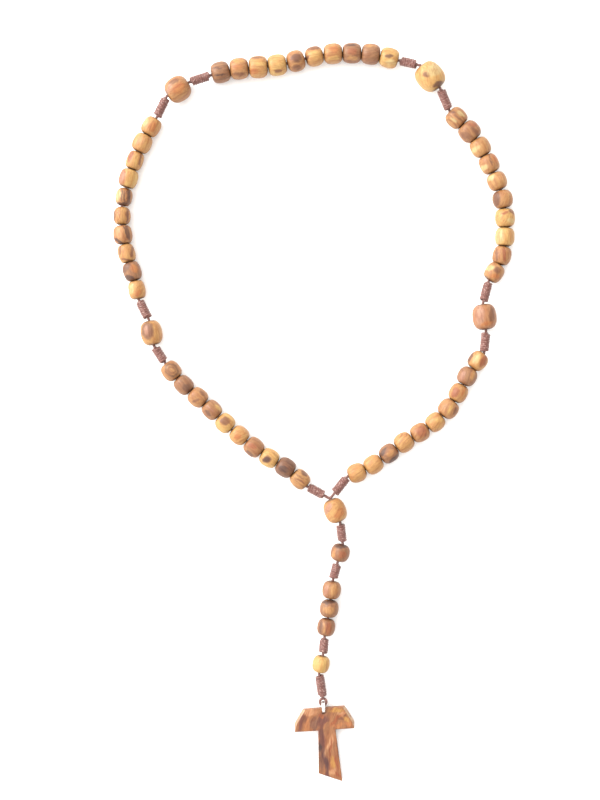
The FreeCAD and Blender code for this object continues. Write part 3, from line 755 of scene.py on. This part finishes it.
def make_light():
    """A wide pale sky that is brighter at the upper left, and a soft key light from there."""
    world = bpy.data.worlds.new("world")
    world.use_nodes = True
    tree = world.node_tree
    direction = tree.nodes.new("ShaderNodeTexCoord").outputs["Generated"]
    slope = tree.nodes.new("ShaderNodeVectorMath")
    slope.operation = "DOT_PRODUCT"
    slope.inputs[1].default_value = (0.87, -0.5, 0.0)
    tree.links.new(direction, slope.inputs[0])
    strength = tree.nodes.new("ShaderNodeMapRange")
    strength.interpolation_type = "SMOOTHSTEP"
    for key, value in (("From Min", 0.75), ("From Max", -0.75), ("To Min", SKY[0]), ("To Max", SKY[1])):
        strength.inputs[key].default_value = value
    tree.links.new(slope.outputs["Value"], strength.inputs["Value"])
    tree.links.new(strength.outputs[0], tree.nodes["Background"].inputs[1])
    tree.nodes["Background"].inputs[0].default_value = (1.0, 0.995, 0.985, 1.0)
    bpy.context.scene.world = world
    area_light("key", (-0.8, 0.5, 0.65), 0.45, 12.5, (1.0, 0.98, 0.96))
    bpy.context.scene.view_settings.view_transform = "Standard"


def make_floor():
    half = FLOOR_SIZE / 2
    corners = [(-half, -half, 0), (half, -half, 0), (half, half, 0), (-half, half, 0)]
    mesh = bpy.data.meshes.new("floor")
    mesh.from_pydata(corners, [], [(0, 1, 2, 3)])
    mesh.materials.append(floor_material())
    floor = bpy.data.objects.new("floor", mesh)
    bpy.context.scene.collection.objects.link(floor)


# ---------------------------------------------------------------- the string of beads

def make_decades():
    for number, route in DECADE_ROUTES.items():
        points = level(route, SMALL_DIAMETER / 2)
        middle = len(points) // 2
        for half, first, last in (("first", 0, middle), ("last", middle, len(points) - 1)):
            body = f"decade_{number}_{half}"
            followed = smooth_route(body, points[first:last + 1])
            cord = cord_piece(f"{body}_cord", [followed])
            for i in range(first, last):
                name = f"decade_{number}_bead_{i + 1:02d}"
                tone, figure, angle, width = DECADE_LOOKS[number][i]
                pitch = (points[i + 1] - points[i]).length
                at_hinge = i in (middle - 1, middle)
                size = SMALL_LENGTH if at_hinge else min(pitch - 0.08 * MM, SMALL_LENGTH + 0.3 * MM)
                ends = min(FLATNESS[number], HINGE_FLATNESS) if at_hinge else FLATNESS[number]
                make_bead(name, points[i], points[i + 1], size, SMALL_DIAMETER * width,
                                       (tone, figure, angle), f"{body}_beads", 100 * number + i,
                                       f"{number}-{i + 1:02d}", ends)


def make_large_beads():
    for number, (x, y, heading, length, diameter) in LARGE_BEADS.items():
        a, b = mouths(x, y, heading, length, diameter)
        name = f"large_bead_{number}"
        make_bead(name, a, b, length, diameter, LARGE_LOOKS[number], name, 600 + number, f"L{number}",
                  LARGE_FLATNESS)
        cord_piece(f"{name}_cord", [spaced(a, b)])


def centre_mouths():
    return mouths(*CENTRE, CENTRE_HEADING, CENTRE_LENGTH, CENTRE_DIAMETER)


def make_centre():
    bottom, top = centre_mouths()
    make_bead("centre_bead", bottom, top, CENTRE_LENGTH, CENTRE_DIAMETER, CENTRE_LOOK, "centre_bead", 700,
              "C", CENTRE_FLATNESS)
    cord_piece("centre_bead_cord", [spaced(bottom, top)])


def make_loop_knots():
    ends = {n: level([route[0], route[-1]], SMALL_DIAMETER / 2) for n, route in DECADE_ROUTES.items()}
    top = centre_mouths()[1]
    make_knot("loop_knot_1", top, ends[1][0], 801, start_gap=FORK_GAP)
    for number, large in LARGE_BEADS.items():
        a, b = mouths(*large)
        make_knot(f"loop_knot_{2 * number}", ends[number][1], a, 800 + 2 * number)
        gap = SHARP_GAP if number == 2 else KNOT_GAP
        make_knot(f"loop_knot_{2 * number + 1}", b, ends[number + 1][0], 801 + 2 * number, start_gap=gap)
    make_knot("loop_knot_10", ends[5][1], top, 810, end_gap=FORK_GAP)


def cross_axes():
    return heading_vector(CROSS_TURN), heading_vector(CROSS_TURN + 90)


def loop_centre():
    return RING_CENTRE + cross_axes()[1] * RING_MEAN_RADIUS


def make_pendant():
    route = [centre_mouths()[0]] + level(PENDANT_ROUTE, SMALL_DIAMETER / 2)
    for number, index in ((1, 0), (2, 2), (3, 6)):
        make_knot(f"pendant_knot_{number}", route[index], route[index + 1], 820 + number)
    for number, index in enumerate((1, 3, 4, 5, 7), start=1):
        name = f"pendant_bead_{number}"
        tone, figure, angle, width, stretch = PENDANT_LOOKS[number - 1]
        make_bead(name, route[index], route[index + 1], SMALL_LENGTH * stretch, SMALL_DIAMETER * width,
                  (tone, figure, angle), name, 830 + number, f"P{number}", PENDANT_FLATNESS)
    for number, (first, last) in enumerate(((1, 2), (3, 6), (7, 8)), start=1):
        name = f"pendant_cord_{number}"
        part = route[first:last + 1]
        cord_piece(name, [smooth_route(name, part) if len(part) > 2 else spaced(*part)])
    last_end = loop_centre() + cross_axes()[1] * (LOOP_MEAN_RADIUS + CORD_RADIUS)
    make_knot("pendant_knot_4", route[8], last_end, 824, end_gap=0.15 * MM)
    make_end_loop()


def make_end_loop():
    """The small loop of cord that comes out of the last knot and holds the ring."""
    right, up = cross_axes()
    centre = loop_centre()
    steps = 48
    points = []
    for i in range(steps + 1):
        angle = math.radians(90 + 14 + (360 - 28) * i / steps)
        points.append(centre + (right * math.cos(angle) + up * math.sin(angle)) * LOOP_MEAN_RADIUS)
    cord_piece("end_loop", [points])


def make_ring():
    """A split wire ring that stands on edge."""
    right, up = cross_axes()
    wire = RING_WIRE / 2
    around = 18
    steps = 110
    cut = math.radians(205)
    opening = math.radians(2.2)
    verts = []
    for i in range(steps + 1):
        angle = cut + opening / 2 + (2 * math.pi - opening) * i / steps
        radial = up * math.cos(angle) + UP * math.sin(angle)
        edge = min(i, steps - i)
        r = wire * (0.90, 0.97, 1.0)[min(edge, 2)]
        centre = RING_CENTRE + radial * RING_MEAN_RADIUS
        for k in range(around):
            turn = 2 * math.pi * k / around
            verts.append(centre + radial * (math.cos(turn) * r) + right * (math.sin(turn) * r * RING_SPREAD))
    faces = []
    for row in range(steps):
        for k in range(around):
            nxt = (k + 1) % around
            a = row * around
            faces.append((a + k, a + nxt, a + around + nxt, a + around + k))
    faces.append(tuple(reversed(range(around))))
    faces.append(tuple(range(steps * around, (steps + 1) * around)))
    new_piece("jump_ring", verts, faces, "jump_ring", METAL)


# ---------------------------------------------------------------- the cross

CROSS_BEVEL = 0.00095  # how far the slanted ends of the bar slope in at the front
CROSS_BEVEL_DEPTH = 0.0012
CROSS_RING_SPACING = 1.1  # millimetres
CROSS_RING_STRENGTH = 0.55
CROSS_COLOURS = {
    "base": (198, 134, 86), "peach": (240, 180, 134), "orange": (224, 148, 90), "rust": (196, 112, 62),
    "yellow": (232, 174, 92), "brown": (158, 102, 68), "maroon": (146, 86, 70), "purple": (128, 78, 72),
    # pale is painted light for the bevelled ends of the bar.
    "dark": (104, 68, 58), "grey": (168, 118, 92), "pale": (255, 228, 200),
}
# Patches of the cross's figure: middle, half length and half width in millimetres, heading in degrees, colour
CROSS_PATCHES = [
    (-4.3, -6.9, 2.6, 1.7, 90, "grey"), (-7.3, -6.7, 2.6, 1.1, 80, "orange"),
    (-6.0, -1.4, 3.0, 1.5, 0, "peach"), (-10.1, -5.7, 3.9, 0.8, 72, "maroon"),
    (-8.3, -4.5, 1.9, 0.9, 80, "brown"), (-4.6, -4.8, 1.9, 0.6, 52, "brown"),
    (-0.8, -5.2, 2.6, 2.3, 60, "maroon"), (-1.5, -3.5, 1.2, 0.6, 10, "rust"),
    (1.3, -7.4, 1.8, 1.3, 0, "base"), (5.0, -1.3, 2.9, 0.9, 0, "yellow"), (7.4, -2.8, 1.8, 0.9, 0, "peach"),
    (6.9, -4.9, 1.6, 0.8, 0, "brown"), (4.7, -5.4, 3.4, 0.7, 46, "rust"),
    (8.8, -4.1, 1.0, 0.6, -45, "brown"), (9.4, -5.5, 1.8, 0.8, -45, "yellow"),
    (10.3, -7.7, 2.0, 0.9, -10, "orange"), (5.4, -7.8, 2.0, 0.9, 0, "orange"),
    (-1.5, -11.8, 4.0, 1.1, 92, "maroon"), (-2.2, -15.6, 2.6, 1.2, 92, "maroon"),
    (-2.9, -17.2, 2.2, 0.8, 90, "dark"), (-2.9, -22.4, 4.0, 0.9, 90, "grey"),
    (-0.8, -22.6, 4.8, 1.1, 98, "purple"), (-0.6, -28.0, 1.5, 1.1, 110, "maroon"),
    (1.6, -15.0, 5.4, 1.0, 64, "peach"), (1.7, -17.6, 4.8, 0.4, 84, "rust"),
    (3.8, -14.3, 3.4, 0.7, 100, "orange"), (4.5, -19.0, 5.0, 0.5, 97, "brown"),
    (2.3, -23.4, 2.6, 1.1, 90, "yellow"), (3.7, -24.0, 3.0, 0.5, 97, "rust"),
    (1.7, -27.2, 1.6, 1.1, 40, "peach"), (3.7, -28.4, 1.8, 0.5, -56, "rust"),
]


def cross_lean():
    foot = -min(y for _, y in CROSS_OUTLINE)
    back = CROSS_THICKNESS / 2
    return math.asin(RING_CENTRE.z / math.hypot(foot, back)) - math.atan(back / foot)


def cross_solid():
    """The flat T with bevelled ends and the ring's hole, remeshed and softened like hand-sanded wood."""
    half = CROSS_THICKNESS / 2
    top = [(x - math.copysign(CROSS_BEVEL, x), y) if abs(x) > 0.008 and y > -0.008 else (x, y)
           for x, y in CROSS_OUTLINE]
    count = len(top)
    verts = [(x, y, -half) for x, y in CROSS_OUTLINE]
    verts += [(x, y, half - CROSS_BEVEL_DEPTH) for x, y in CROSS_OUTLINE]
    verts += [(x, y, half) for x, y in top]
    faces = [tuple(reversed(range(count))), tuple(range(2 * count, 3 * count))]
    for base in (0, count):
        faces += [(base + i, base + (i + 1) % count, base + (i + 1) % count + count, base + i + count)
                  for i in range(count)]
    mesh = bpy.data.meshes.new("cross_blank")
    mesh.from_pydata(verts, [], faces)
    blank = bpy.data.objects.new("cross_blank", mesh)
    drill_mesh = bpy.data.meshes.new("cross_drill")
    drill = bmesh.new()
    bmesh.ops.create_cone(drill, cap_ends=True, segments=48, radius1=CROSS_HOLE_RADIUS,
                          radius2=CROSS_HOLE_RADIUS, depth=4 * half,
                          matrix=Matrix.Translation((0, -CROSS_HOLE_DROP, 0)))
    drill.to_mesh(drill_mesh)
    drill.free()
    tool = bpy.data.objects.new("cross_drill", drill_mesh)
    for ob in (blank, tool):
        bpy.context.scene.collection.objects.link(ob)
    hole = blank.modifiers.new("hole", "BOOLEAN")
    hole.object = tool
    hole.solver = "EXACT"
    voxels = blank.modifiers.new("voxels", "REMESH")
    voxels.mode = "VOXEL"
    voxels.voxel_size = 0.00019
    soft = blank.modifiers.new("soft", "SMOOTH")
    soft.factor = 0.5
    soft.iterations = 5
    bpy.context.view_layer.update()
    result = bpy.data.meshes.new_from_object(blank.evaluated_get(bpy.context.evaluated_depsgraph_get()))
    for ob in (blank, tool):
        bpy.data.objects.remove(ob)
    return result


def cross_colour(x, y, z):
    """The cross's colour at a point of its own, in millimetres: flamed patches with wavering edges."""
    waver = noise.noise_vector(Vector((x * 0.45, y * 0.25, z * 0.3 + 7)))
    fine = noise.noise_vector(Vector((x * 1.6, y * 0.6, z * 0.6 + 3)))
    x += 0.7 * waver.x + 0.3 * fine.x
    y += 1.0 * waver.y + 0.4 * fine.y
    found = Vector(CROSS_COLOURS["base"])
    for patch in CROSS_PATCHES:
        found = found.lerp(Vector(CROSS_COLOURS[patch[5]]), patch_share(x, y, patch, 0.8))
    return found


def make_cross():
    mesh = cross_solid()
    places = [v.co.copy() for v in mesh.vertices]
    normals = [v.normal.copy() for v in mesh.vertices]
    logs = []
    lights = []
    darks = []
    painted_shade = []
    for v, place, normal in zip(mesh.vertices, places, normals):
        x, y, z = place / MM
        bend = max(0.0, y + 12)
        across = x - 0.8 - 0.028 * bend * bend
        logs.append((y, across * 1.15 + 3.0, z * 0.9 + 7.0))
        found = cross_colour(x, y, z)
        # Painted light: the bevelled ends of the bar, where they face outwards, are lightened towards the pale
        # colour as if lit from the sides.
        slope = normal.x if x > 0 else -normal.x
        pale = min(1.0, max(0.0, (slope - 0.35) / 0.2)) * (y > -8.5) * (abs(x) > 7) * (z > 0)
        found = found.lerp(Vector(CROSS_COLOURS["pale"]), 0.75 * pale)
        light = colour(found)
        lights.append(light)
        darks.append((light[0] * 0.50, light[1] * 0.44, light[2] * 0.44, 1.0))
        # Painted shade round the rim of the ring's hole.
        rim = math.hypot(x, y + CROSS_HOLE_DROP / MM) - CROSS_HOLE_RADIUS / MM
        painted_shade.append(max(0.0, 0.6 * (1 - rim / 0.4)))
        v.co = place + normal * (0.03 * MM * noise.noise(place / MM * 0.5))
    turn = Matrix.Rotation(math.radians(CROSS_TURN), 4, "Z") @ Matrix.Rotation(cross_lean(), 4, "X")
    mesh.transform(Matrix.Translation(RING_CENTRE) @ turn)
    mesh.materials.clear()
    mesh.materials.append(WOOD)
    mesh.shade_smooth()
    count = len(mesh.vertices)
    point_values(mesh, "log", "FLOAT_VECTOR", logs)
    point_values(mesh, "light", "FLOAT_COLOR", lights)
    point_values(mesh, "dark", "FLOAT_COLOR", darks)
    point_values(mesh, "figure", "FLOAT_VECTOR", [(CROSS_RING_SPACING, CROSS_RING_STRENGTH, 0.0)] * count)
    point_values(mesh, "painted_shade", "FLOAT", painted_shade)
    cross = bpy.data.objects.new("tau_cross_wood", mesh)
    bpy.context.scene.collection.objects.link(cross)
    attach(cross, "tau_cross")
    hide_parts("tau_cross")


make_camera()
make_light()
make_floor()
make_decades()
make_large_beads()
make_centre()
make_loop_knots()
make_pendant()
make_ring()
make_cross()
